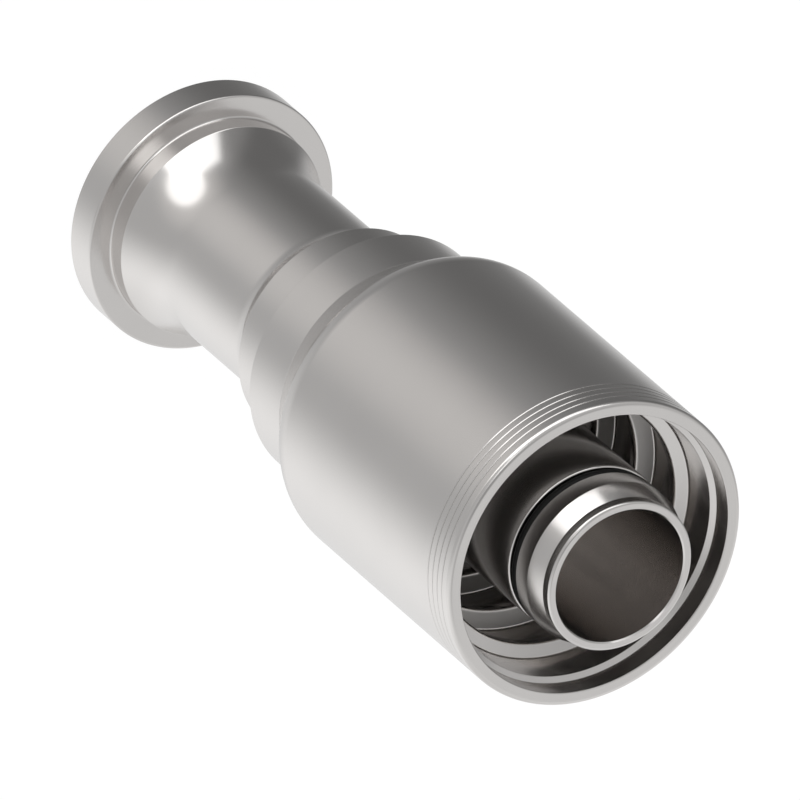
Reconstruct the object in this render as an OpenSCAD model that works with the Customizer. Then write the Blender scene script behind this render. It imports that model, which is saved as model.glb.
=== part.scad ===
/* [Flange head] */
// Outside diameter of the flange head
head_od = 60.33; // [56:0.01:66]
// Thickness of the flange head
head_t = 8; // [6:0.1:11]
// Rounded edge on the hose side of the flange head
head_round = 0.5; // [0.2:0.1:1]
// Bevel round the sealing face
face_bevel = 0.2; // [0.1:0.05:0.6]
// Width of the sealing face outside its groove
face_land = 3.1; // [2:0.1:5]
// Width of the sealing groove in the flange face
face_groove_w = 3.9; // [3:0.1:4.5]
// Depth of the sealing groove in the flange face
face_groove_d = 2.85; // [2:0.05:3.4]

/* [Shoulder and neck] */
// Diameter of the shoulder that the flange halves close round
shoulder_od = 49.8; // [46:0.1:51.5]
// Height of the shoulder above the flange head
shoulder_h = 4.6; // [3:0.1:8]
// Fillet at the foot of the shoulder
shoulder_foot = 0.5; // [0.2:0.1:1]
// Bevel on sharp turned edges
edge_break = 0.15; // [0.05:0.05:0.3]
// Thickness of the neck's wall
neck_wall = 5.7; // [4:0.1:6.5]
// Radius of the long sweep from the shoulder down to the neck
neck_sweep = 34; // [20:1:50]

/* [Collar] */
// Height of the back of the collar's rim above the flange face
collar_back_z = 63.2; // [50:0.1:90]
// Width of the collar's rim
collar_w = 12.2; // [9:0.1:15]
// Height of the collar above the neck
collar_rise = 3.8; // [2.5:0.1:5]
// Radius of the sweep from the neck up to the collar
collar_sweep = 10; // [7:0.5:14]

/* [Stem] */
// Diameter of the stem inside the hose
stem_od = 38.3; // [35:0.1:41]
// Thickness of the stem's wall
stem_wall = 3.6; // [3.1:0.1:5]
// Length of the stem, from the front of the collar to the tip
stem_l = 106.2; // [100:0.1:125]
// Bevel at both ends of the bore
bore_bevel = 0.3; // [0.1:0.05:0.6]
// Height of the shell's locking groove above the stem
lock_groove_rise = 1.35; // [0.5:0.05:2.5]
// Height of the locking ring above the stem
lock_ring_rise = 3.45; // [3:0.05:4]
// Width of the locking ring
lock_ring_w = 4; // [3:0.1:5]
// Slope of the locking ring's front side, from the axis
lock_ring_slope = 35; // [25:1:45]
// Rounded edge of the stem behind the seal ring
stem_round = 0.5; // [0.2:0.1:0.8]
// Step down from the stem to the land in front of the seal ring
land_drop = 0.15; // [0.05:0.05:0.5]
// Width of the land in front of the seal ring
land_w = 4.6; // [3.5:0.1:6]
// Length of the tapered lead between the land and the tip
lead_l = 4.3; // [3:0.1:6]
// Thickness of the tip's wall
tip_wall = 2; // [1.5:0.1:3]
// Length of the straight part of the tip
tip_l = 2.4; // [1.5:0.1:4]
// Rounded edge of the tip
tip_round = 0.6; // [0.3:0.1:0.8]

/* [Seal ring] */
// Thickness of the seal ring's round section
seal_section = 2; // [1.6:0.05:2.2]
// Room on each side of the seal ring in its groove
seal_side_gap = 0.375; // [0.1:0.025:0.6]
// How far the seal ring lies below the stem
seal_sink = 0.2; // [0:0.05:0.4]

/* [Shell] */
// Outside diameter of the shell's body
shell_od = 71.7; // [66:0.1:80]
// Overall length of the shell
shell_l = 95.4; // [85:0.1:105]
// Thickness of the shell's wall between the teeth
shell_wall = 3.25; // [2.5:0.05:4]
// Outside diameter of the shell's reduced rear end
tail_od = 58.8; // [54:0.1:62]
// Length of the shell's reduced rear end
tail_l = 12.7; // [10:0.1:16]
// Fillet where the reduced rear end meets the cone
tail_fillet = 0.6; // [0.2:0.1:1.5]
// Slope of the cone between the rear end and the body, from the axis
cone_slope = 30; // [25:1:38]
// Radius of the sweep from the cone into the body
body_sweep = 9.7; // [6:0.1:12]
// Thickness of metal behind the hose socket
socket_wall = 3; // [2.4:0.1:4]
// Thickness of the shell's rear wall
rear_wall = 7.7; // [6:0.1:9]
// Room round the locking ring
pocket_gap = 1; // [0.3:0.1:2]
// Clearance between the pieces
seat_gap = 0.1; // [0.05:0.05:0.2]

/* [Mouth] */
// Thickness of the shell's wall at the mouth
mouth_wall = 3.15; // [2.5:0.05:4]
// Depth of the wide part of the mouth
mouth_l = 4.75; // [3:0.05:7]
// Step in from the wide part of the mouth to the wall before the first tooth
entry_step = 1.25; // [0.5:0.05:2]
// Slope of that step, from a flat ring
entry_slope = 33; // [10:1:45]
// Rounded outside edge of the mouth
mouth_round = 1.1; // [0.5:0.1:1.5]
// Bevel on the inside edge of the mouth
mouth_bevel = 0.25; // [0.1:0.05:0.5]

/* [Teeth] */
// Number of gripping teeth
tooth_count = 4; // [2:1:5]
// Height of a tooth
tooth_h = 4.1; // [3:0.1:5]
// Width of a tooth's crest
crest_w = 1.9; // [1.2:0.1:3]
// Distance from the mouth's rim to the first tooth's crest
first_tooth = 15.4; // [12:0.1:18]
// Distance from the floor of the hose socket to the last tooth's crest
last_tooth = 6.25; // [5.5:0.05:12]
// Slope of a tooth's front side, from a flat ring
tooth_front = 22; // [10:1:35]
// Slope of a tooth's rear side, from a flat ring
tooth_rear = 30; // [15:1:40]
// Fillet at the foot of a tooth's front side
tooth_foot = 0.6; // [0.2:0.05:1]
// Rounded front edge of a tooth's crest
crest_round = 0.9; // [0.2:0.05:1.3]

/* [Grip lines] */
// Number of fine grip lines round the body
line_count = 4; // [0:1:6]
// Distance from one grip line to the next
line_pitch = 1.93; // [1.5:0.01:2.5]
// Distance from the mouth's rounded edge to the first grip line
line_start = 1.75; // [1.3:0.05:3]
// Width of a grip line
line_w = 0.5; // [0.3:0.05:0.9]
// Depth of a grip line
line_d = 0.12; // [0.05:0.01:0.15]

/* [Hidden] */
$fn = 128;

// Steps along a long sweep, a short sweep and a small rounded edge
LONG_STEPS = 18;
SWEEP_STEPS = 12;
EDGE_STEPS = 5;

// Radii of the nipple's turned surfaces
head_r = head_od / 2;
face_groove_r = head_r - face_land;
shoulder_r = shoulder_od / 2;
stem_r = stem_od / 2;
bore_r = stem_r - stem_wall;
neck_r = bore_r + neck_wall;
collar_r = neck_r + collar_rise;
lock_groove_r = stem_r + lock_groove_rise;
lock_ring_r = stem_r + lock_ring_rise;
land_r = stem_r - land_drop;
tip_r = bore_r + tip_wall;

// Radius of the seal ring's round centre line, and of its groove's floor
seal_r = stem_r - seal_sink - seal_section / 2;
seal_floor_r = seal_r - seal_section / 2 - seat_gap / 2;

// Radii of the shell's turned surfaces
shell_r = shell_od / 2;
tail_r = tail_od / 2;
root_r = shell_r - shell_wall;
crest_r = root_r - tooth_h;
mouth_r = shell_r - mouth_wall;
entry_r = mouth_r - entry_step;
pocket_r = lock_ring_r + pocket_gap;
lip_r = lock_groove_r + seat_gap;

// Heights along the nipple, from the flange face up to the tip
shoulder_z = head_t + shoulder_h;
collar_front_z = collar_back_z + collar_w;
shell_back_z = collar_front_z + seat_gap;
pocket_z = shell_back_z + rear_wall;
lock_groove_end_z = pocket_z + seat_gap;
lock_ring_end_z = lock_groove_end_z + lock_ring_w;
stem_end_z = collar_front_z + stem_l;
lead_start_z = stem_end_z - tip_l;
land_end_z = lead_start_z - lead_l;
seal_front_z = land_end_z - land_w;
seal_back_z = seal_front_z - seal_section - 2 * seal_side_gap;

// Heights along the shell, from its rear end up to the mouth
tail_end_z = shell_back_z + tail_l;
socket_z = tail_end_z + (root_r + socket_wall / cos(cone_slope) - tail_r) / tan(cone_slope);
shell_end_z = shell_back_z + shell_l;
entry_z = shell_end_z - mouth_l;
first_crest_z = shell_end_z - first_tooth;
tooth_pitch = (first_crest_z - socket_z - last_tooth) / (tooth_count - 1);

// Sweep from the cone into the body: where it starts, and its centre
sweep_r = shell_r - body_sweep * (1 - cos(cone_slope));
sweep_z = tail_end_z + (sweep_r - tail_r) / tan(cone_slope);
sweep_centre = [shell_r - body_sweep, sweep_z + body_sweep * sin(cone_slope)];

// Points along an arc, from one angle to the other
function arc(centre, radius, from, to, steps) =
    [for (i = [0 : steps]) let (a = from + (to - from) * i / steps)
        centre + radius * [cos(a), sin(a)]];

// Angle through which a sweep of one radius turns while it climbs by rise
function sweep_turn(radius, rise) = acos((radius - rise) / radius);

// Hollow sweep from the shoulder's bevelled edge down to the neck
function neck_curve() =
    let (turn = sweep_turn(neck_sweep, shoulder_r - edge_break - neck_r))
    arc([neck_r + neck_sweep, shoulder_z + neck_sweep * sin(turn)], neck_sweep,
        180 + turn, 180, LONG_STEPS);

// Hollow sweep from the neck up to the collar's bevelled edge
function collar_curve() =
    let (turn = sweep_turn(collar_sweep, collar_rise - edge_break))
    arc([neck_r + collar_sweep, collar_back_z - collar_sweep * sin(turn)], collar_sweep,
        180, 180 - turn, SWEEP_STEPS);

// Sealing face with its groove, the flange head and the shoulder
function flange_outline() = concat(
    [[bore_r, bore_bevel], [bore_r + bore_bevel, 0],
     [face_groove_r - face_groove_w, 0], [face_groove_r - face_groove_w, face_groove_d],
     [face_groove_r, face_groove_d], [face_groove_r, 0],
     [head_r - face_bevel, 0], [head_r, face_bevel]],
    arc([head_r - head_round, head_t - head_round], head_round, 0, 90, EDGE_STEPS),
    arc([shoulder_r + shoulder_foot, head_t + shoulder_foot], shoulder_foot, 270, 180, EDGE_STEPS),
    [[shoulder_r, shoulder_z - edge_break]]);

// Neck, collar, and the groove and ring that hold the shell
function neck_outline() = concat(
    neck_curve(),
    collar_curve(),
    [[collar_r, collar_back_z + edge_break], [collar_r, collar_front_z],
     [lock_groove_r, collar_front_z], [lock_groove_r, lock_groove_end_z],
     [lock_ring_r, lock_groove_end_z], [lock_ring_r, lock_ring_end_z],
     [stem_r, lock_ring_end_z + lock_ring_rise / tan(lock_ring_slope)]]);

// Stem with the seal ring's groove, the land, the tapered lead and the tip
function stem_outline() = concat(
    arc([stem_r - stem_round, seal_back_z - stem_round], stem_round, 0, 90, EDGE_STEPS),
    [[seal_floor_r, seal_back_z], [seal_floor_r, seal_front_z],
     [land_r, seal_front_z], [land_r, land_end_z], [tip_r, lead_start_z]],
    arc([tip_r - tip_round, stem_end_z - tip_round], tip_round, 0, 90, EDGE_STEPS),
    [[bore_r + bore_bevel, stem_end_z], [bore_r, stem_end_z - bore_bevel]]);

// Nipple: flange head, neck, collar and hose stem, turned from one bar
module nipple() {
    color("silver")
        rotate_extrude()
            polygon(concat(flange_outline(), neck_outline(), stem_outline()));
}

// Fillet between the shell's reduced rear end and its cone
function tail_curve() =
    arc([tail_r + tail_fillet, tail_end_z - tail_fillet * tan(cone_slope / 2)], tail_fillet,
        180, 180 - cone_slope, EDGE_STEPS);

// Outside of the shell, from its rear face to the rim
function shell_outside() = concat(
    [[tail_r - edge_break, shell_back_z], [tail_r, shell_back_z + edge_break]],
    tail_curve(),
    arc(sweep_centre, body_sweep, -cone_slope, 0, SWEEP_STEPS),
    arc([shell_r - mouth_round, shell_end_z - mouth_round], mouth_round, 0, 90, EDGE_STEPS));

// Front side of a tooth: foot fillet, slanted side and rounded crest edge
function tooth_side(foot_r, crest_z) =
    let (foot_z = crest_z + (foot_r - crest_r) * tan(tooth_front),
         turn = 90 - tooth_front,
         foot_cut = tooth_foot * tan(turn / 2),
         edge_cut = crest_round * tan(turn / 2))
    concat(
        arc([foot_r - tooth_foot, foot_z + foot_cut], tooth_foot, 0, -turn, EDGE_STEPS),
        arc([crest_r + crest_round, crest_z - edge_cut], crest_round, 180 - turn, 180, EDGE_STEPS));

// One tooth, from its front side to the foot of its rear side
function tooth(index) =
    let (crest_z = first_crest_z - index * tooth_pitch,
         back_z = crest_z - crest_w)
    concat(
        tooth_side(index == 0 ? entry_r : root_r, crest_z),
        [[crest_r, back_z], [root_r, back_z - tooth_h * tan(tooth_rear)]]);

// Inside of the shell, from the rim down to its rear face
function shell_inside() = concat(
    [[mouth_r + mouth_bevel, shell_end_z], [mouth_r, shell_end_z - mouth_bevel],
     [mouth_r, entry_z], [entry_r, entry_z - entry_step * tan(entry_slope)]],
    [for (i = [0 : tooth_count - 1]) each tooth(i)],
    [[root_r, socket_z], [pocket_r, socket_z], [pocket_r, pocket_z],
     [lip_r, pocket_z], [lip_r, shell_back_z]]);

// Round section that cuts one fine grip line
module grip_line(index) {
    line_r = (line_w * line_w / 4 + line_d * line_d) / (2 * line_d);
    line_z = shell_end_z - mouth_round - line_start - index * line_pitch;
    translate([shell_r - line_d + line_r, line_z])
        circle(r = line_r);
}

// Crimp shell: a toothed sleeve round the stem, open towards the hose
module crimp_shell() {
    color("lightgray")
        rotate_extrude()
            difference() {
                polygon(concat(shell_outside(), shell_inside()));
                for (i = [0 : 1 : line_count - 1])
                    grip_line(i);
            }
}

// Rubber seal ring that lies in the groove of the stem
module stem_seal_ring() {
    color("black")
        translate([0, 0, (seal_front_z + seal_back_z) / 2])
            rotate_extrude()
                translate([seal_r, 0])
                    circle(d = seal_section);
}

nipple();
crimp_shell();
stem_seal_ring();
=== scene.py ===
"""Looks of a straight hose fitting: a turned steel nipple, its crimp shell and its seal ring.

Lengths are named in millimetres, as on a turner's drawing, and turned into metres where meshes are made.
"""
from __future__ import annotations

import logging
import math
from collections.abc import Callable
from dataclasses import dataclass, field
from enum import Enum
from typing import Any
import bpy
import numpy as np
from mathutils import Matrix, Vector


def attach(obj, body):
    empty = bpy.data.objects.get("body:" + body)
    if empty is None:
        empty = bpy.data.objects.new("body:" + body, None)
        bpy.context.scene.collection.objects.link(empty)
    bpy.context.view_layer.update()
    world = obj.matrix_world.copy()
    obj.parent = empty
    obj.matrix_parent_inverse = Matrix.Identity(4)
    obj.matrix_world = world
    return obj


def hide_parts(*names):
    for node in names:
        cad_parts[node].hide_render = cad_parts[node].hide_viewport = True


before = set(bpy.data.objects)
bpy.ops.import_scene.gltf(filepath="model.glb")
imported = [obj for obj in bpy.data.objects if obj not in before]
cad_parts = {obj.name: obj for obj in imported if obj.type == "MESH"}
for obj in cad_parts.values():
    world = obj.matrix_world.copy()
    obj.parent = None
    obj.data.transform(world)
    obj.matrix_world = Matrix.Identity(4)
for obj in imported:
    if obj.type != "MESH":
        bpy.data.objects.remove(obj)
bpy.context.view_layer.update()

LOG = logging.getLogger("hose_fitting")
MM = 0.001
ROUND_STEPS = 256
ARC_STEP_DEG = 7.0
LEAST_ARC_STEPS = 3
SAME_POINT_MM = 1e-6
MIDDLE = 0.5

Point = tuple[float, float]
Colour = tuple[float, float, float]

NEUTRAL: Colour = (1.0, 1.0, 1.0)
WARM: Colour = (1.06, 1.0, 0.95)


class Slot(Enum):
    """Material slots of the record."""

    NIPPLE = "nipple_steel"
    SHELL = "shell_steel"
    SEAL = "seal_rubber"


# Outlines and turned meshes


@dataclass(frozen=True)
class Station:
    """One point of a finished outline, with the surface normals just before and just after it."""

    point: Point
    before: Point
    after: Point


@dataclass(frozen=True)
class Arc:
    """A stretch of a circle in the half plane of radius and height, in millimetres."""

    centre: Point
    radius: float
    start_deg: float
    end_deg: float

    def at(self, angle_deg: float) -> Point:
        """Point of the arc at an angle."""
        angle = math.radians(angle_deg)
        return (self.centre[0] + self.radius * math.cos(angle), self.centre[1] + self.radius * math.sin(angle))

    def stations(self) -> list[Station]:
        """Points along the arc, each with its true normal on both sides.

        Returns:
            The stations, from the arc's start to its end.
        """
        turn = self.end_deg - self.start_deg
        steps = max(LEAST_ARC_STEPS, math.ceil(abs(turn) / ARC_STEP_DEG))
        sign = math.copysign(1.0, turn)
        made = []
        for step in range(steps + 1):
            angle_deg = self.start_deg + turn * step / steps
            angle = math.radians(angle_deg)
            normal = (sign * math.cos(angle), sign * math.sin(angle))
            made.append(Station(self.at(angle_deg), normal, normal))
        return made


@dataclass(frozen=True)
class Corner:
    """A corner of an outline, sharp or rounded, in millimetres."""

    radius: float
    height: float
    rounding: float = 0.0

    @property
    def point(self) -> Point:
        """The corner as a point of radius and height."""
        return (self.radius, self.height)


def direction(start: Point, end: Point) -> Point:
    """Unit direction from one point to another.

    Args:
        start: The point that is left.
        end: The point that is walked to.

    Returns:
        The direction, of length 1.
    """
    run, rise = end[0] - start[0], end[1] - start[1]
    length = math.hypot(run, rise)
    return (run / length, rise / length)


def right_of(heading: Point) -> Point:
    """Outward normal of an outline that is walked counter-clockwise in a heading."""
    return (heading[1], -heading[0])


def rounded_corner(before: Point, corner: Corner, after: Point) -> list[Station]:
    """Points of one corner of an outline.

    Args:
        before: The last point ahead of the corner.
        corner: The corner, with its rounding.
        after: The first point past the corner.

    Returns:
        One sharp point, or the points of the arc that rounds the corner.
    """
    heading_in = direction(before, corner.point)
    heading_out = direction(corner.point, after)
    if corner.rounding <= 0.0:
        return [Station(corner.point, right_of(heading_in), right_of(heading_out))]
    cross = heading_in[0] * heading_out[1] - heading_in[1] * heading_out[0]
    dot = heading_in[0] * heading_out[0] + heading_in[1] * heading_out[1]
    turn = math.atan2(cross, dot)
    sign = math.copysign(1.0, turn)
    cut = corner.rounding * math.tan(abs(turn) / 2)
    start = (corner.radius - heading_in[0] * cut, corner.height - heading_in[1] * cut)
    centre = (start[0] - sign * heading_in[1] * corner.rounding, start[1] + sign * heading_in[0] * corner.rounding)
    start_deg = math.degrees(math.atan2(start[1] - centre[1], start[0] - centre[0]))
    return Arc(centre, corner.rounding, start_deg, start_deg + math.degrees(turn)).stations()


@dataclass
class Outline:
    """A closed outline in the half plane of radius and height, walked counter-clockwise."""

    knots: list[Corner | Arc] = field(default_factory=list)

    def corner(self, radius: float, height: float, rounding: float = 0.0) -> None:
        """Adds a corner, sharp or rounded."""
        self.knots.append(Corner(radius, height, rounding))

    def arc(self, centre: Point, radius: float, start_deg: float, end_deg: float) -> None:
        """Adds a sweep that meets its neighbours where it ends."""
        self.knots.append(Arc(centre, radius, start_deg, end_deg))

    def stations(self) -> list[Station]:
        """All points of the closed outline with their normals.

        Returns:
            The stations in order, without doubled points.
        """
        made: list[Station] = []
        count = len(self.knots)
        for index, knot in enumerate(self.knots):
            if isinstance(knot, Arc):
                made.extend(knot.stations())
                continue
            previous, following = self.knots[index - 1], self.knots[(index + 1) % count]
            before = previous.at(previous.end_deg) if isinstance(previous, Arc) else previous.point
            after = following.at(following.start_deg) if isinstance(following, Arc) else following.point
            made.extend(rounded_corner(before, knot, after))
        return self.joined(made)

    @staticmethod
    def joined(made: list[Station]) -> list[Station]:
        """Makes one station of two that fall together, as where two arcs meet.

        Args:
            made: The stations in order.

        Returns:
            The stations, each pair with the first one's normal before it and the second one's after it.
        """
        single: list[Station] = []
        for station in made:
            if single and math.dist(single[-1].point, station.point) < SAME_POINT_MM:
                single[-1] = Station(station.point, single[-1].before, station.after)
            else:
                single.append(station)
        return single


def lathe(name: str, outline: Outline) -> bpy.types.Object:
    """Turns an outline about the Z axis into a closed mesh with exact normals.

    Args:
        name: Name of the new object.
        outline: The closed outline, in millimetres.

    Returns:
        The object, linked to the scene.
    """
    stations = outline.stations()
    count = len(stations)
    turns = np.arange(ROUND_STEPS) * (2 * math.pi / ROUND_STEPS)
    cosine, sine = np.cos(turns), np.sin(turns)
    profile = np.array([station.point for station in stations]) * MM
    vertices = np.empty((count, ROUND_STEPS, 3))
    vertices[:, :, 0] = profile[:, :1] * cosine
    vertices[:, :, 1] = profile[:, :1] * sine
    vertices[:, :, 2] = profile[:, 1:]

    ring, spoke = np.meshgrid(np.arange(count), np.arange(ROUND_STEPS), indexing="ij")
    next_ring, next_spoke = (ring + 1) % count, (spoke + 1) % ROUND_STEPS
    faces = np.stack(
        [
            ring * ROUND_STEPS + spoke,
            ring * ROUND_STEPS + next_spoke,
            next_ring * ROUND_STEPS + next_spoke,
            next_ring * ROUND_STEPS + spoke,
        ],
        axis=-1,
    ).reshape(-1, 4)

    leaving = np.array([station.after for station in stations])
    arriving = np.roll(np.array([station.before for station in stations]), -1, axis=0)
    corners = [(leaving, spoke), (leaving, next_spoke), (arriving, next_spoke), (arriving, spoke)]
    normals = np.empty((count, ROUND_STEPS, 4, 3))
    for place, (flat, spokes) in enumerate(corners):
        normals[:, :, place, 0] = flat[:, :1] * cosine[spokes]
        normals[:, :, place, 1] = flat[:, :1] * sine[spokes]
        normals[:, :, place, 2] = flat[:, 1:]

    mesh = bpy.data.meshes.new(name)
    mesh.from_pydata(vertices.reshape(-1, 3).tolist(), [], faces.tolist())
    mesh.polygons.foreach_set("use_smooth", np.ones(len(faces), dtype=bool))
    mesh.normals_split_custom_set(normals.reshape(-1, 3).tolist())
    mesh.update()
    turned = bpy.data.objects.new(name, mesh)
    bpy.context.scene.collection.objects.link(turned)
    return turned


# Shader graphs


@dataclass(frozen=True)
class Wire:
    """The output of a shader node, on which sums are written as plain expressions."""

    graph: "Graph"
    socket: bpy.types.NodeSocket

    def __add__(self, other: "Wire | float") -> "Wire":
        """Sum."""
        return self.graph.maths("ADD", self, other)

    def __radd__(self, other: float) -> "Wire":
        """Sum, with the number first."""
        return self.graph.maths("ADD", other, self)

    def __sub__(self, other: "Wire | float") -> "Wire":
        """Difference."""
        return self.graph.maths("SUBTRACT", self, other)

    def __rsub__(self, other: float) -> "Wire":
        """Difference, with the number first."""
        return self.graph.maths("SUBTRACT", other, self)

    def __mul__(self, other: "Wire | float") -> "Wire":
        """Product."""
        return self.graph.maths("MULTIPLY", self, other)

    def __rmul__(self, other: float) -> "Wire":
        """Product, with the number first."""
        return self.graph.maths("MULTIPLY", other, self)

    def __truediv__(self, other: "Wire | float") -> "Wire":
        """Quotient."""
        return self.graph.maths("DIVIDE", self, other)


@dataclass(frozen=True)
class Graph:
    """A node tree of a material or of the world."""

    tree: bpy.types.NodeTree

    def node(
        self,
        kind: str,
        settings: dict[str, Any] | None = None,
        inputs: dict[str | int, Any] | None = None,
        output: str | int = 0,
    ) -> Wire:
        """Adds a node.

        Args:
            kind: The node's type.
            settings: Its settings, which are set first.
            inputs: Values or wires for its sockets, by name or number.
            output: The output that is handed back.

        Returns:
            The wire from that output.
        """
        made = self.tree.nodes.new(kind)
        for key, value in (settings or {}).items():
            setattr(made, key, value)
        for key, value in (inputs or {}).items():
            if isinstance(value, Wire):
                self.tree.links.new(value.socket, made.inputs[key])
            else:
                made.inputs[key].default_value = value
        return Wire(self, made.outputs[output])

    def maths(self, operation: str, *values: Wire | float) -> Wire:
        """One Math node.

        Args:
            operation: The node's operation.
            values: What goes into its sockets, in order.

        Returns:
            The node's output.
        """
        return self.node("ShaderNodeMath", {"operation": operation}, dict(enumerate(values)))

    def mix_colour(self, factor: Wire, first: Wire | Colour, second: Wire | Colour) -> Wire:
        """Blend of two colours.

        Args:
            factor: 0 gives the first colour, 1 the second.
            first: The first colour.
            second: The second colour.

        Returns:
            The blended colour.
        """
        settings = {"data_type": "RGBA", "clamp_factor": True}
        first, second = (tone if isinstance(tone, Wire) else (*tone, 1.0) for tone in (first, second))
        return self.node("ShaderNodeMix", settings, {"Factor": factor, 6: first, 7: second}, output=2)

    def along(self, look: Wire, axis: Vector) -> Wire:
        """Dot product of a direction and a fixed axis."""
        return self.node("ShaderNodeVectorMath", {"operation": "DOT_PRODUCT"}, {0: look, 1: axis}, output="Value")

    def bump(self, height: Wire, depth_mm: float, strength: float = 1.0) -> Wire:
        """Normal of a surface with a fine relief.

        Args:
            height: The relief, from 0 to 1.
            depth_mm: Its depth.
            strength: How fully it shows.

        Returns:
            The normal.
        """
        inputs = {"Strength": strength, "Distance": depth_mm * MM, "Height": height}
        return self.node("ShaderNodeBump", None, inputs, output="Normal")

    def ramp(self, value: Wire, start: float, end: float) -> Wire:
        """Soft step from 0 at one value to 1 at another."""
        spread = {"Value": value, "From Min": start, "From Max": end, "To Min": 0.0, "To Max": 1.0}
        return self.node("ShaderNodeMapRange", {"interpolation_type": "SMOOTHSTEP"}, spread)

    def finish(self, kind: str, surface: Wire) -> None:
        """Leads a shader to the tree's output.

        Args:
            kind: Type of the output node.
            surface: The shader.
        """
        made = self.tree.nodes.new(kind)
        self.tree.links.new(surface.socket, made.inputs["Surface"])


def fresh_material(name: str) -> tuple[bpy.types.Material, Graph]:
    """An empty node material.

    Args:
        name: Name of the material.

    Returns:
        The material and its graph.
    """
    material = bpy.data.materials.new(name)
    material.use_nodes = True
    material.node_tree.nodes.clear()
    return material, Graph(material.node_tree)


def turned_place(graph: Graph) -> tuple[Wire, Wire]:
    """Place on a turned piece, as on a turner's drawing.

    Args:
        graph: The graph of the piece's material.

    Returns:
        The radius and the height, in millimetres.
    """
    place = graph.node("ShaderNodeTexCoord", output="Object")
    flat = graph.node("ShaderNodeVectorMath", {"operation": "MULTIPLY"}, {0: place, 1: (1.0, 1.0, 0.0)})
    radius = graph.node("ShaderNodeVectorMath", {"operation": "LENGTH"}, {0: flat}, output="Value")
    height = graph.node("ShaderNodeSeparateXYZ", None, {0: place}, output="Z")
    return radius / MM, height / MM


def turning_marks(graph: Graph, per_mm: float, detail: float) -> Wire:
    """Fine rings left by a turning tool, which follow radius on faces and height on walls.

    Args:
        graph: The graph that they are drawn in.
        per_mm: Rings to the millimetre.
        detail: Octaves of the noise.

    Returns:
        A value from 0 to 1.
    """
    radius, height = turned_place(graph)
    rings = graph.node("ShaderNodeCombineXYZ", None, {"X": radius, "Y": height})
    inputs = {"Vector": rings, "Scale": per_mm, "Detail": detail}
    return graph.node("ShaderNodeTexNoise", {"noise_dimensions": "2D"}, inputs)


def clouds(graph: Graph, size_mm: float, detail: float) -> Wire:
    """Soft cloudy variation over a surface.

    Args:
        graph: The graph that it is drawn in.
        size_mm: Rough size of a cloud.
        detail: Octaves of the noise.

    Returns:
        A value from 0 to 1.
    """
    place = graph.node("ShaderNodeTexCoord", output="Object")
    inputs = {"Vector": place, "Scale": 1.0 / (size_mm * MM), "Detail": detail}
    return graph.node("ShaderNodeTexNoise", {"noise_dimensions": "3D"}, inputs)


@dataclass(frozen=True)
class SatinSteel:
    """Plated steel with a satin turned surface; where a shade share is handed in, painted shade darkens it and it
    turns rougher.
    """

    name: str
    bright: Colour = (0.735, 0.715, 0.7)
    dull: Colour = (0.7, 0.682, 0.668)
    # Painted shade: the colour that shaded hollows are darkened towards.
    recess_shade_colour: Colour = (0.4, 0.385, 0.37)
    roughness: float = 0.18
    roughness_swing: float = 0.03
    recess_roughness: float = 0.6
    marks_per_mm: float = 5.0
    marks_detail: float = 2.0
    marks_depth_mm: float = 0.0008
    cloud_mm: float = 14.0
    cloud_detail: float = 3.0

    def material(self, recess_shade: Callable[[Graph], Wire] | None = None) -> bpy.types.Material:
        """Makes the material.

        Args:
            recess_shade: Share of painted shade, from 0 to 1, drawn in the material's graph; it also raises the
                roughness.

        Returns:
            The material.
        """
        material, graph = fresh_material(self.name)
        cloud = clouds(graph, self.cloud_mm, self.cloud_detail)
        marks = turning_marks(graph, self.marks_per_mm, self.marks_detail)
        colour = graph.mix_colour(cloud, self.bright, self.dull)
        swing = (cloud - MIDDLE) * self.roughness_swing + (marks - MIDDLE) * self.roughness_swing
        roughness = swing + self.roughness
        # Painted shade: the share darkens the colour towards the shade colour and raises the roughness.
        if recess_shade is not None:
            share = recess_shade(graph)
            colour = graph.mix_colour(share, colour, self.recess_shade_colour)
            roughness = share * (self.recess_roughness - self.roughness) + roughness
        relief = graph.bump(marks, self.marks_depth_mm)
        inputs = {"Base Color": colour, "Metallic": 1.0, "Roughness": roughness, "Normal": relief}
        graph.finish("ShaderNodeOutputMaterial", graph.node("ShaderNodeBsdfPrincipled", None, inputs))
        return material


@dataclass(frozen=True)
class SealRubber:
    """Matt black rubber with a faint bloom."""

    name: str
    black: Colour = (0.004, 0.004, 0.004)
    bloom: Colour = (0.012, 0.012, 0.012)
    sheen: float = 0.2
    roughness: float = 0.5
    roughness_swing: float = 0.12
    bloom_mm: float = 4.0
    bloom_detail: float = 4.0
    grain_mm: float = 0.35
    grain_detail: float = 2.0
    grain_depth_mm: float = 0.01
    grain_strength: float = 0.6

    def material(self) -> bpy.types.Material:
        """Makes the material.

        Returns:
            The material.
        """
        material, graph = fresh_material(self.name)
        bloom = clouds(graph, self.bloom_mm, self.bloom_detail)
        grain = clouds(graph, self.grain_mm, self.grain_detail)
        inputs = {
            "Base Color": graph.mix_colour(bloom, self.black, self.bloom),
            "Roughness": (bloom - MIDDLE) * self.roughness_swing + self.roughness,
            "Specular IOR Level": self.sheen,
            "Normal": graph.bump(grain, self.grain_depth_mm, self.grain_strength),
        }
        graph.finish("ShaderNodeOutputMaterial", graph.node("ShaderNodeBsdfPrincipled", None, inputs))
        return material


def seat(piece: bpy.types.Object, node: str, material: bpy.types.Material) -> None:
    """Puts a turned piece in place of its solid.

    Args:
        piece: The turned piece.
        node: The solid that it stands for.
        material: Its finish.
    """
    piece.data.materials.append(material)
    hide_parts(node)
    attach(piece, "root")
    LOG.info("%s: %d faces", piece.name, len(piece.data.polygons))


# The pieces


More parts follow.
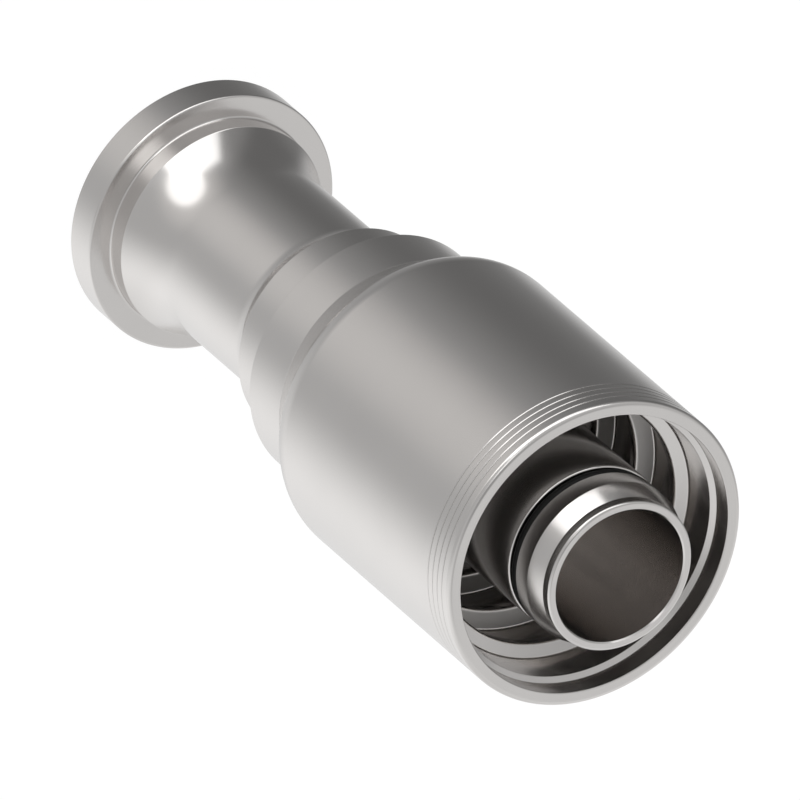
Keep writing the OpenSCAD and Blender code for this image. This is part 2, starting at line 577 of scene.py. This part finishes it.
@dataclass
class Nipple:
    """Flange head, shoulder, neck, collar and hose stem, turned from one bar."""

    head_r: float = 30.165
    head_t: float = 8.0
    head_round: float = 0.5
    face_bevel: float = 0.2
    face_groove_r: float = 27.065
    face_groove_w: float = 3.9
    face_groove_d: float = 2.85
    shoulder_r: float = 24.9
    shoulder_h: float = 4.6
    shoulder_foot: float = 0.5
    edge: float = 0.15
    neck_r: float = 21.25
    neck_sweep: float = 34.0
    collar_r: float = 25.05
    collar_back_z: float = 63.2
    collar_w: float = 12.2
    collar_sweep: float = 10.0
    bore_r: float = 15.55
    bore_bevel: float = 0.3
    stem_end_z: float = 181.6
    stem_r: float = 19.15
    lock_groove_r: float = 20.5
    lock_groove_end_z: float = 83.3
    lock_ring_r: float = 22.6
    lock_ring_w: float = 4.0
    lock_ring_slope: float = 35.0
    land_r: float = 19.0
    land_w: float = 4.6
    seal_groove_w: float = 2.75
    seal_floor_r: float = 16.9
    stem_round: float = 0.5
    tip_r: float = 17.55
    tip_l: float = 2.4
    lead_l: float = 4.3
    tip_round: float = 0.6

    def flange(self, outline: Outline) -> None:
        """Draws the sealing face with its groove, the flange head and the shoulder.

        Args:
            outline: The outline that it is added to.
        """
        groove_in = self.face_groove_r - self.face_groove_w
        outline.corner(self.bore_r, self.bore_bevel)
        outline.corner(self.bore_r + self.bore_bevel, 0.0)
        outline.corner(groove_in, 0.0, self.edge)
        outline.corner(groove_in, self.face_groove_d, self.edge)
        outline.corner(self.face_groove_r, self.face_groove_d, self.edge)
        outline.corner(self.face_groove_r, 0.0, self.edge)
        outline.corner(self.head_r, 0.0, self.face_bevel)
        outline.corner(self.head_r, self.head_t, self.head_round)
        outline.corner(self.shoulder_r, self.head_t, self.shoulder_foot)
        outline.corner(self.shoulder_r, self.head_t + self.shoulder_h - self.edge)

    def neck(self, outline: Outline) -> None:
        """Draws the neck with its two sweeps, and the collar.

        Args:
            outline: The outline that it is added to.
        """
        shoulder_z = self.head_t + self.shoulder_h
        drop = self.shoulder_r - self.edge - self.neck_r
        turn = math.acos((self.neck_sweep - drop) / self.neck_sweep)
        centre = (self.neck_r + self.neck_sweep, shoulder_z + self.neck_sweep * math.sin(turn))
        outline.arc(centre, self.neck_sweep, 180.0 + math.degrees(turn), 180.0)
        climb = self.collar_r - self.edge - self.neck_r
        turn = math.acos((self.collar_sweep - climb) / self.collar_sweep)
        centre = (self.neck_r + self.collar_sweep, self.collar_back_z - self.collar_sweep * math.sin(turn))
        outline.arc(centre, self.collar_sweep, 180.0, 180.0 - math.degrees(turn))
        outline.corner(self.collar_r, self.collar_back_z + self.edge)
        outline.corner(self.collar_r, self.collar_back_z + self.collar_w, self.edge)

    def lock(self, outline: Outline) -> None:
        """Draws the groove and the ring that hold the shell.

        Args:
            outline: The outline that it is added to.
        """
        ring_end = self.lock_groove_end_z + self.lock_ring_w
        slope_run = (self.lock_ring_r - self.stem_r) / math.tan(math.radians(self.lock_ring_slope))
        outline.corner(self.lock_groove_r, self.collar_back_z + self.collar_w, self.edge)
        outline.corner(self.lock_groove_r, self.lock_groove_end_z, self.edge)
        outline.corner(self.lock_ring_r, self.lock_groove_end_z, self.edge)
        outline.corner(self.lock_ring_r, ring_end, self.edge)
        outline.corner(self.stem_r, ring_end + slope_run)

    def stem(self, outline: Outline) -> None:
        """Draws the hose stem with its seal groove, land, tapered lead and tip.

        Args:
            outline: The outline that it is added to.
        """
        lead_start = self.stem_end_z - self.tip_l
        land_end = lead_start - self.lead_l
        seal_front = land_end - self.land_w
        seal_back = seal_front - self.seal_groove_w
        outline.corner(self.stem_r, seal_back, self.stem_round)
        outline.corner(self.seal_floor_r, seal_back, self.edge)
        outline.corner(self.seal_floor_r, seal_front, self.edge)
        outline.corner(self.land_r, seal_front, self.edge)
        outline.corner(self.land_r, land_end, self.edge)
        outline.corner(self.tip_r, lead_start)
        outline.corner(self.tip_r, self.stem_end_z, self.tip_round)
        outline.corner(self.bore_r + self.bore_bevel, self.stem_end_z)
        outline.corner(self.bore_r, self.stem_end_z - self.bore_bevel)

    def build(self) -> bpy.types.Object:
        """Turns the whole nipple as one piece.

        Returns:
            The turned nipple.
        """
        outline = Outline()
        for draw in (self.flange, self.neck, self.lock, self.stem):
            draw(outline)
        return lathe("turned_nipple", outline)

    def dress(self, piece: bpy.types.Object) -> None:
        """Gives the nipple its satin steel and its place."""
        seat(piece, "nipple", SatinSteel("nipple_satin_steel").material())


@dataclass
class CrimpShell:
    """Toothed sleeve round the stem, open towards the hose."""

    back_z: float = 75.5
    length: float = 95.4
    shell_r: float = 35.85
    tail_r: float = 29.4
    tail_l: float = 12.7
    tail_fillet: float = 0.6
    cone_slope: float = 30.0
    body_sweep: float = 9.7
    mouth_round: float = 1.1
    mouth_bevel: float = 0.25
    mouth_r: float = 32.7
    mouth_l: float = 4.75
    entry_r: float = 31.45
    entry_slope: float = 33.0
    root_r: float = 32.6
    crest_r: float = 28.5
    crest_w: float = 1.9
    first_tooth: float = 15.4
    last_tooth: float = 6.25
    tooth_count: int = 4
    tooth_front: float = 22.0
    tooth_rear: float = 30.0
    tooth_foot: float = 0.6
    crest_round: float = 0.9
    rear_wall: float = 7.7
    pocket_r: float = 23.6
    socket_wall: float = 3.0
    lip_r: float = 20.6
    edge: float = 0.15
    line_count: int = 4
    line_pitch: float = 1.93
    line_start: float = 2.85
    line_w: float = 0.5
    line_d: float = 0.12
    line_edge: float = 0.05
    # Painted shade in the grip lines and on the deeper teeth: its shift in the lines, its share near the mouth and
    # its fade.
    line_shade_shift: float = 0.1
    shade_near_mouth: float = 0.5
    shade_fade: float = 1.0
    crest_shine: Point = (0.3, 0.9)
    foot_shine: Point = (0.2, 0.6)

    @property
    def end_z(self) -> float:
        """Height of the rim of the mouth."""
        return self.back_z + self.length

    @property
    def socket_z(self) -> float:
        """Height of the floor of the hose socket.

        Returns:
            The height at which the wall under the cone is as thick as stated.
        """
        cone = math.radians(self.cone_slope)
        reach = self.root_r + self.socket_wall / math.cos(cone) - self.tail_r
        return self.back_z + self.tail_l + reach / math.tan(cone)

    @property
    def tooth_pitch(self) -> float:
        """Distance from one tooth to the next."""
        run = self.end_z - self.first_tooth - self.socket_z - self.last_tooth
        return run / (self.tooth_count - 1)

    def outside(self, outline: Outline) -> None:
        """Draws the rear end, the cone, the body with its grip lines, and the rim.

        Args:
            outline: The outline that it is added to.
        """
        tail_end = self.back_z + self.tail_l
        slope = math.tan(math.radians(self.cone_slope))
        outline.corner(self.tail_r, self.back_z, self.edge)
        outline.corner(self.tail_r, tail_end, self.tail_fillet)
        outline.corner(self.shell_r, tail_end + (self.shell_r - self.tail_r) / slope, self.body_sweep)
        for index in reversed(range(self.line_count)):
            line_z = self.end_z - self.line_start - index * self.line_pitch
            outline.corner(self.shell_r, line_z - self.line_w / 2, self.line_edge)
            outline.corner(self.shell_r - self.line_d, line_z, self.line_w / 2)
            outline.corner(self.shell_r, line_z + self.line_w / 2, self.line_edge)
        outline.corner(self.shell_r, self.end_z, self.mouth_round)

    def tooth(self, outline: Outline, index: int) -> None:
        """Draws one gripping tooth, from the foot of its front side to the foot of its rear side.

        Args:
            outline: The outline that it is added to.
            index: Its number, counted from the mouth.
        """
        front = math.tan(math.radians(self.tooth_front))
        rear = math.tan(math.radians(self.tooth_rear))
        crest_z = self.end_z - self.first_tooth - index * self.tooth_pitch
        foot_r = self.entry_r if index == 0 else self.root_r
        outline.corner(foot_r, crest_z + (foot_r - self.crest_r) * front, self.tooth_foot)
        outline.corner(self.crest_r, crest_z, self.crest_round)
        outline.corner(self.crest_r, crest_z - self.crest_w, self.edge)
        outline.corner(self.root_r, crest_z - self.crest_w - (self.root_r - self.crest_r) * rear, self.edge)

    def inside(self, outline: Outline) -> None:
        """Draws the mouth, the teeth, the hose socket, the pocket and the rear lip.

        Args:
            outline: The outline that it is added to.
        """
        entry_z = self.end_z - self.mouth_l
        step = (self.mouth_r - self.entry_r) * math.tan(math.radians(self.entry_slope))
        outline.corner(self.mouth_r, self.end_z, self.mouth_bevel)
        outline.corner(self.mouth_r, entry_z, self.edge)
        outline.corner(self.entry_r, entry_z - step, self.edge)
        for index in range(self.tooth_count):
            self.tooth(outline, index)
        outline.corner(self.root_r, self.socket_z, self.edge)
        outline.corner(self.pocket_r, self.socket_z, self.edge)
        outline.corner(self.pocket_r, self.back_z + self.rear_wall, self.edge)
        outline.corner(self.lip_r, self.back_z + self.rear_wall, self.edge)
        outline.corner(self.lip_r, self.back_z, self.edge)

    def build(self) -> bpy.types.Object:
        """Turns the shell as one piece.

        Returns:
            The turned shell.
        """
        outline = Outline()
        self.outside(outline)
        self.inside(outline)
        return lathe("turned_crimp_shell", outline)

    def painted_shade_on_teeth(self, graph: Graph, radius: Wire, height: Wire) -> Wire:
        """Share of painted shade on the steep sides past the first tooth, which grows with depth.

        The crests and the rounded feet keep their shine.

        Args:
            graph: The graph of the shell's material.
            radius: The radius of a place, in millimetres.
            height: Its height, in millimetres.

        Returns:
            The share, from 0 to 1.
        """
        second_tooth = self.end_z - self.first_tooth - self.crest_w
        third_tooth = second_tooth - self.tooth_pitch
        above_floor = graph.ramp(height, self.socket_z, self.socket_z + self.shade_fade / 2)
        past_first = graph.ramp(height, second_tooth, second_tooth - self.shade_fade)
        off_crest = graph.ramp(radius, self.crest_r + self.crest_shine[0], self.crest_r + self.crest_shine[1])
        off_root = graph.ramp(radius, self.root_r - self.foot_shine[0], self.root_r - self.foot_shine[1])
        deeper = graph.ramp(height, third_tooth, third_tooth - self.shade_fade) * (1.0 - self.shade_near_mouth)
        return above_floor * past_first * (off_crest * off_root) * (deeper + self.shade_near_mouth)

    def painted_shade_in_lines(self, graph: Graph, radius: Wire, height: Wire) -> Wire:
        """Share of painted shade in the grip lines.

        Args:
            graph: The graph of the shell's material.
            radius: The radius of a place, in millimetres.
            height: Its height, in millimetres.

        Returns:
            The share, from 0 to 1.
        """
        top = self.end_z - self.line_start + self.line_pitch / 2
        bottom = top - self.line_count * self.line_pitch
        turns = graph.maths("FRACT", (height - self.line_shade_shift - bottom) / self.line_pitch)
        aside = graph.maths("ABSOLUTE", turns - MIDDLE) * self.line_pitch
        line = graph.ramp(aside, self.line_w / 2, self.line_w / 4)
        outside = graph.ramp(radius, self.shell_r - 2 * self.shade_fade, self.shell_r - self.shade_fade)
        fade = 2 * self.line_edge
        band = graph.ramp(height, bottom, bottom + fade) * graph.ramp(height, top, top - fade)
        return line * outside * band * self.shade_near_mouth

    def recess_shade(self, graph: Graph) -> Wire:
        """Share of painted shade on the shell: on the deeper teeth and in the grip lines.

        Args:
            graph: The graph of the shell's material.

        Returns:
            The share, from 0 to 1.
        """
        radius, height = turned_place(graph)
        teeth = self.painted_shade_on_teeth(graph, radius, height)
        return graph.maths("MAXIMUM", teeth, self.painted_shade_in_lines(graph, radius, height))

    def dress(self, piece: bpy.types.Object) -> None:
        """Gives the shell its satin steel, with painted shade in its grip lines and on its deeper teeth, and its
        place.
        """
        seat(piece, "crimp_shell", SatinSteel("shell_satin_steel").material(self.recess_shade))


@dataclass
class StemSealRing:
    """Rubber seal ring in the groove of the stem."""

    section_r: float = 1.0
    centre_r: float = 17.95
    centre_z: float = 168.925

    def build(self) -> bpy.types.Object:
        """Turns the round section of the ring.

        Returns:
            The turned ring.
        """
        outline = Outline()
        outline.arc((self.centre_r, self.centre_z), self.section_r, 0.0, 360.0)
        return lathe("moulded_stem_seal_ring", outline)

    def dress(self, piece: bpy.types.Object) -> None:
        """Gives the ring its rubber and its place."""
        seat(piece, "stem_seal_ring", SealRubber("seal_black_rubber").material())


# The studio and the camera


def compass(azimuth_deg: float, elevation_deg: float) -> Vector:
    """Direction from the part.

    Args:
        azimuth_deg: 0 towards the viewer's side, 90 towards +X.
        elevation_deg: 0 level, 90 straight up.

    Returns:
        The direction, of length 1.
    """
    azimuth, elevation = math.radians(azimuth_deg), math.radians(elevation_deg)
    flat = math.cos(elevation)
    return Vector((flat * math.sin(azimuth), -flat * math.cos(azimuth), math.sin(elevation)))


@dataclass(frozen=True)
class RoundLight:
    """A round soft light far away, seen from the part in one direction."""

    azimuth_deg: float
    elevation_deg: float
    half_deg: float
    feather_deg: float
    strength: float
    tint: Colour = NEUTRAL

    def glow(self, graph: Graph, look: Wire) -> Wire:
        """Share of the light that is seen in a direction.

        Args:
            graph: The world's graph.
            look: The direction that is looked in.

        Returns:
            1 inside the light, 0 outside.
        """
        facing = graph.along(look, compass(self.azimuth_deg, self.elevation_deg))
        outer = math.cos(math.radians(min(179.0, self.half_deg + self.feather_deg)))
        inner = math.cos(math.radians(max(0.0, self.half_deg - self.feather_deg)))
        return graph.ramp(facing, outer, inner)


@dataclass(frozen=True)
class PanelLight:
    """A straight-edged light panel far away."""

    edges_deg: tuple[Point, ...]
    feather_deg: float
    strength: float
    tint: Colour = NEUTRAL

    def glow(self, graph: Graph, look: Wire) -> Wire:
        """Share of the panel that is seen in a direction.

        Each edge is named by the azimuth and the elevation that stand square on it, on the panel's side.

        Args:
            graph: The world's graph.
            look: The direction that is looked in.

        Returns:
            1 inside the panel, 0 outside.
        """
        soft = math.sin(math.radians(self.feather_deg))
        share: Wire | None = None
        for azimuth_deg, elevation_deg in self.edges_deg:
            edge = graph.ramp(graph.along(look, compass(azimuth_deg, elevation_deg)), -soft, soft)
            share = edge if share is None else share * edge
        return share


@dataclass
class Studio:
    """Pale table top and soft lights all round."""

    floor_half: float = 4.0
    floor_drop_mm: float = 0.2
    floor_colour: Colour = (0.8, 0.8, 0.8)
    floor_white: float = 0.85
    floor_glow: float = 1.1
    mirror_bounces: int = 10
    fill: Colour = (0.16, 0.16, 0.16)
    lights: tuple[RoundLight | PanelLight, ...] = (
        RoundLight(-9.8, -21.3, 17.1, 1.5, 0.9),
        PanelLight(((25.0, 30.5), (-44.0, 67.7), (-99.0, 0.0), (-44.0, -57.0)), 1.5, 1.2),
        RoundLight(135.5, 1.0, 67.0, 24.0, 0.6),
        RoundLight(35.0, -15.0, 68.0, 37.0, 0.35),
        RoundLight(149.0, -64.0, 40.0, 15.0, 0.13),
        RoundLight(-155.0, 15.0, 26.0, 35.0, 0.17),
        RoundLight(-44.0, 23.0, 53.0, 11.0, 0.12),
        RoundLight(50.0, 59.0, 16.0, 21.0, 0.16),
        RoundLight(-7.0, -31.0, 18.0, 18.0, 0.2, WARM),
        RoundLight(-100.0, 50.0, 39.0, 13.0, 0.28),
        RoundLight(-10.0, 50.0, 9.0, 7.0, 1.0),
        RoundLight(-168.0, -45.0, 14.0, 10.0, 0.1),
    )

    def floor(self) -> bpy.types.Object:
        """Lays the table top, white to the camera, with the part's shadow on it, and clear from below.

        Returns:
            The table top.
        """
        half, drop = self.floor_half, -self.floor_drop_mm * MM
        mesh = bpy.data.meshes.new("table_top")
        square = [(-half, -half, drop), (half, -half, drop), (half, half, drop), (-half, half, drop)]
        mesh.from_pydata(square, [], [(0, 1, 2, 3)])
        top = bpy.data.objects.new("table_top", mesh)
        bpy.context.scene.collection.objects.link(top)
        material, graph = fresh_material("pale_table")
        camera = graph.node("ShaderNodeLightPath", output="Is Camera Ray")
        glossy = graph.node("ShaderNodeLightPath", output="Is Glossy Ray")
        through = graph.node("ShaderNodeLightPath", output="Is Transmission Ray")
        under = graph.node("ShaderNodeNewGeometry", output="Backfacing")
        plain = graph.node("ShaderNodeBsdfDiffuse", None, {"Color": (*self.floor_colour, 1.0)})
        white = graph.node("ShaderNodeEmission", None, {"Color": (*NEUTRAL, 1.0), "Strength": self.floor_glow})
        lit = graph.node("ShaderNodeMixShader", None, {0: camera * self.floor_white, 1: plain, 2: white})
        clear = graph.node("ShaderNodeBsdfTransparent")
        passed = graph.maths("MAXIMUM", glossy + through, under)
        seen = graph.node("ShaderNodeMixShader", None, {0: passed, 1: lit, 2: clear})
        graph.finish("ShaderNodeOutputMaterial", seen)
        mesh.materials.append(material)
        return top

    def surroundings(self) -> None:
        """Lights the world: white to the camera, the fill and the lights to everything else."""
        world = bpy.data.worlds.new("studio")
        world.use_nodes = True
        world.node_tree.nodes.clear()
        graph = Graph(world.node_tree)
        look = graph.node("ShaderNodeTexCoord", output="Generated")
        light: Wire | Colour = self.fill
        for lamp in self.lights:
            bright = [channel * lamp.strength for channel in lamp.tint]
            share = lamp.glow(graph, look)
            shown = graph.node("ShaderNodeVectorMath", {"operation": "SCALE"}, {0: bright, "Scale": share})
            light = graph.node("ShaderNodeVectorMath", {"operation": "ADD"}, {0: light, 1: shown})
        camera = graph.node("ShaderNodeLightPath", output="Is Camera Ray")
        colour = graph.mix_colour(camera, light, NEUTRAL)
        sky = graph.node("ShaderNodeBackground", None, {"Color": colour, "Strength": 1.0})
        graph.finish("ShaderNodeOutputWorld", sky)
        bpy.context.scene.world = world

    def build(self) -> None:
        """Sets up the table and the lights."""
        self.floor()
        self.surroundings()
        bpy.context.scene.view_settings.view_transform = "Standard"
        bpy.context.scene.cycles.glossy_bounces = self.mirror_bounces


@dataclass(frozen=True)
class PhotoCamera:
    """Long lens that looks down on the standing part from the photograph's angle."""

    elevation_deg: float = 48.474
    roll_deg: float = 130.903
    target_x_mm: float = 2.29
    target_z_mm: float = 91.735
    mm_per_pixel: float = 0.21292
    picture_width: int = 800
    lens_mm: float = 1700.0
    sensor_mm: float = 36.0
    near_share: float = 0.1
    far_share: float = 10.0

    def build(self) -> None:
        """Makes the scene's camera."""
        elevation, roll = math.radians(self.elevation_deg), math.radians(self.roll_deg)
        back = Vector((0.0, -math.cos(elevation), math.sin(elevation)))
        side = Vector((1.0, 0.0, 0.0))
        upright = back.cross(side)
        right = side * math.cos(roll) + upright * math.sin(roll)
        up = upright * math.cos(roll) - side * math.sin(roll)
        distance = self.mm_per_pixel * MM * self.picture_width * self.lens_mm / self.sensor_mm
        target = Vector((self.target_x_mm, 0.0, self.target_z_mm)) * MM
        data = bpy.data.cameras.new("photo_camera")
        data.lens, data.sensor_width = self.lens_mm, self.sensor_mm
        data.clip_start, data.clip_end = distance * self.near_share, distance * self.far_share
        camera = bpy.data.objects.new("photo_camera", data)
        bpy.context.scene.collection.objects.link(camera)
        turned = Matrix((right, up, back)).transposed().to_4x4()
        camera.matrix_world = Matrix.Translation(target + back * distance) @ turned
        bpy.context.scene.camera = camera


def main() -> None:
    """Builds the camera, the studio and the three pieces."""
    logging.basicConfig(level=logging.INFO, format="%(name)s: %(message)s")
    PhotoCamera().build()
    Studio().build()
    for part in (Nipple(), CrimpShell(), StemSealRing()):
        part.dress(part.build())


if __name__ == "__main__":
    main()
